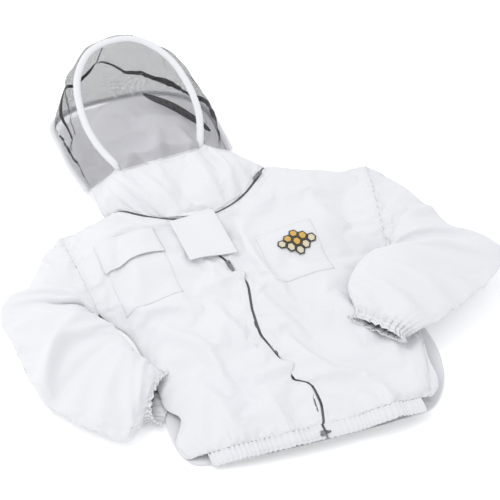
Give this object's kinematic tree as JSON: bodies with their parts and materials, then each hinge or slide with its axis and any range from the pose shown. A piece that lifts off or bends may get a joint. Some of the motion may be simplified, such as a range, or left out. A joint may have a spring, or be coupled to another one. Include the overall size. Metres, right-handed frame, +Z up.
{
  "type": "beekeeping jacket with veiled hood",
  "caption": "White beekeeping jacket with a zip-on black net veil hood, laid on its back with both sleeves folded in.",
  "frame": {"origin": "on the table, under the back panel, on the line of the chest's middle", "axes": "+Z up from the table, +Y up the body towards the head, +X to the wearer's left"},
  "size_m": [1.0034, 1.0953, 0.2143],
  "materials": {
    "white_cloth": "plain-weave polyester-cotton twill, matt white, topstitched in white",
    "hood_lining": "the same white cloth seen from inside the hood",
    "hoop_binding": "white woven binding folded over the hoop wire",
    "veil_net": "black knitted polyester net, open mesh",
    "zip_tape": "dark grey woven zip tape",
    "zip_coil": "dark grey nylon coil",
    "zip_hardware": "dark plated zinc",
    "elastic": "white woven elastic",
    "touch_tape": "white hook-and-loop tape",
    "badge_thread": "amber embroidery thread",
    "hoop_rod": "spring steel wire"
  },
  "bodies": {
    "jacket": {"back_panel": "white_cloth", "front_panel_right": "white_cloth", "front_panel_left": "white_cloth", "hem_casing_right": "white_cloth", "hem_casing_left": "white_cloth", "hem_elastic_right": "elastic", "hem_elastic_left": "elastic", "hem_elastic_back": "elastic", "front_zip_tape_right": "zip_tape", "front_zip_tape_left": "zip_tape", "front_zip_coil_right": "zip_coil", "front_zip_coil_left": "zip_coil", "zip_retaining_box": "zip_hardware", "chest_pocket_right": "white_cloth", "chest_pocket_left": "white_cloth", "pocket_hook_tape": "touch_tape", "badge_patch": "badge_thread", "neck_zip_tape_jacket": "zip_tape", "neck_zip_coil_jacket": "zip_coil", "throat_hook_tape": "touch_tape"},
    "pocket_flap": {"pocket_flap_right": "white_cloth"},
    "right_arm": {"right_sleeve": "white_cloth", "right_cuff_casing": "white_cloth", "right_cuff_elastic": "elastic"},
    "left_arm": {"left_sleeve": "white_cloth", "left_cuff_casing": "white_cloth", "left_cuff_elastic": "elastic"},
    "hood": {"neck_zip_tape_hood": "zip_tape", "neck_zip_coil_hood": "zip_coil", "rear_hoop_channel": "hoop_binding", "rear_hoop_rod": "hoop_rod", "side_net": "veil_net", "hood_bib": "white_cloth", "hood_back": "hood_lining", "throat_flap_seam": "white_cloth"},
    "veil": {"front_hoop_channel": "hoop_binding", "front_hoop_rod": "hoop_rod", "face_net": "veil_net"},
    "throat_flap": {"throat_flap": "white_cloth", "throat_loop_tape": "touch_tape"},
    "front_slider": {"front_zip_slider": "zip_hardware"},
    "front_pull": {"front_zip_pull": "zip_hardware"},
    "neck_slider": {"neck_zip_slider": "zip_hardware"},
    "neck_pull": {"neck_zip_pull": "zip_hardware"}
  },
  "joints": [
    {"name": "hood_pull_off", "type": "slide", "parent": "jacket", "child": "hood", "axis": [0, 1, 0], "range_m": [0, 0.12]},
    {"name": "veil_fold", "type": "hinge", "parent": "hood", "child": "veil", "pos_m": [-0.045, 0.229, 0.1], "axis": [-1, 0, 0], "range_deg": [0, 24]},
    {"name": "throat_flap_lift", "type": "hinge", "parent": "hood", "child": "throat_flap", "pos_m": [-0.014, 0.085, 0.066], "axis": [-1, 0, 0], "range_deg": [0, 150]},
    {"name": "pocket_flap_lift", "type": "hinge", "parent": "jacket", "child": "pocket_flap", "pos_m": [-0.121, 0.086, 0.0634], "axis": [-0.996, 0, -0.0894], "range_deg": [0, 120]},
    {"name": "front_zip_slide", "type": "slide", "parent": "jacket", "child": "front_slider", "axis": [0, -0.9988, -0.0486], "range_m": [-0.1, 0.42]},
    {"name": "front_pull_swing", "type": "hinge", "parent": "front_slider", "child": "front_pull", "pos_m": [-0.014, -0.06315, 0.05501], "axis": [-1, 0, 0], "range_deg": [0, 140]},
    {"name": "neck_zip_slide", "type": "slide", "parent": "hood", "child": "neck_slider", "axis": [-0.7787, -0.6266, 0.0323], "range_m": [0, 0.08]},
    {"name": "neck_pull_swing", "type": "hinge", "parent": "neck_slider", "child": "neck_pull", "pos_m": [0.14672, 0.1515, 0.05842], "axis": [-0.6269, 0.7791, 0], "range_deg": [0, 140]},
    {"name": "right_sleeve_swing", "type": "hinge", "parent": "jacket", "child": "right_arm", "pos_m": [-0.42496, 0.05161, 0], "axis": [0, 0, -1], "range_deg": [0, 25]},
    {"name": "left_sleeve_swing", "type": "hinge", "parent": "jacket", "child": "left_arm", "pos_m": [0.47213, -0.04498, 0], "axis": [0, 0, 1], "range_deg": [0, 25]}
  ]
}
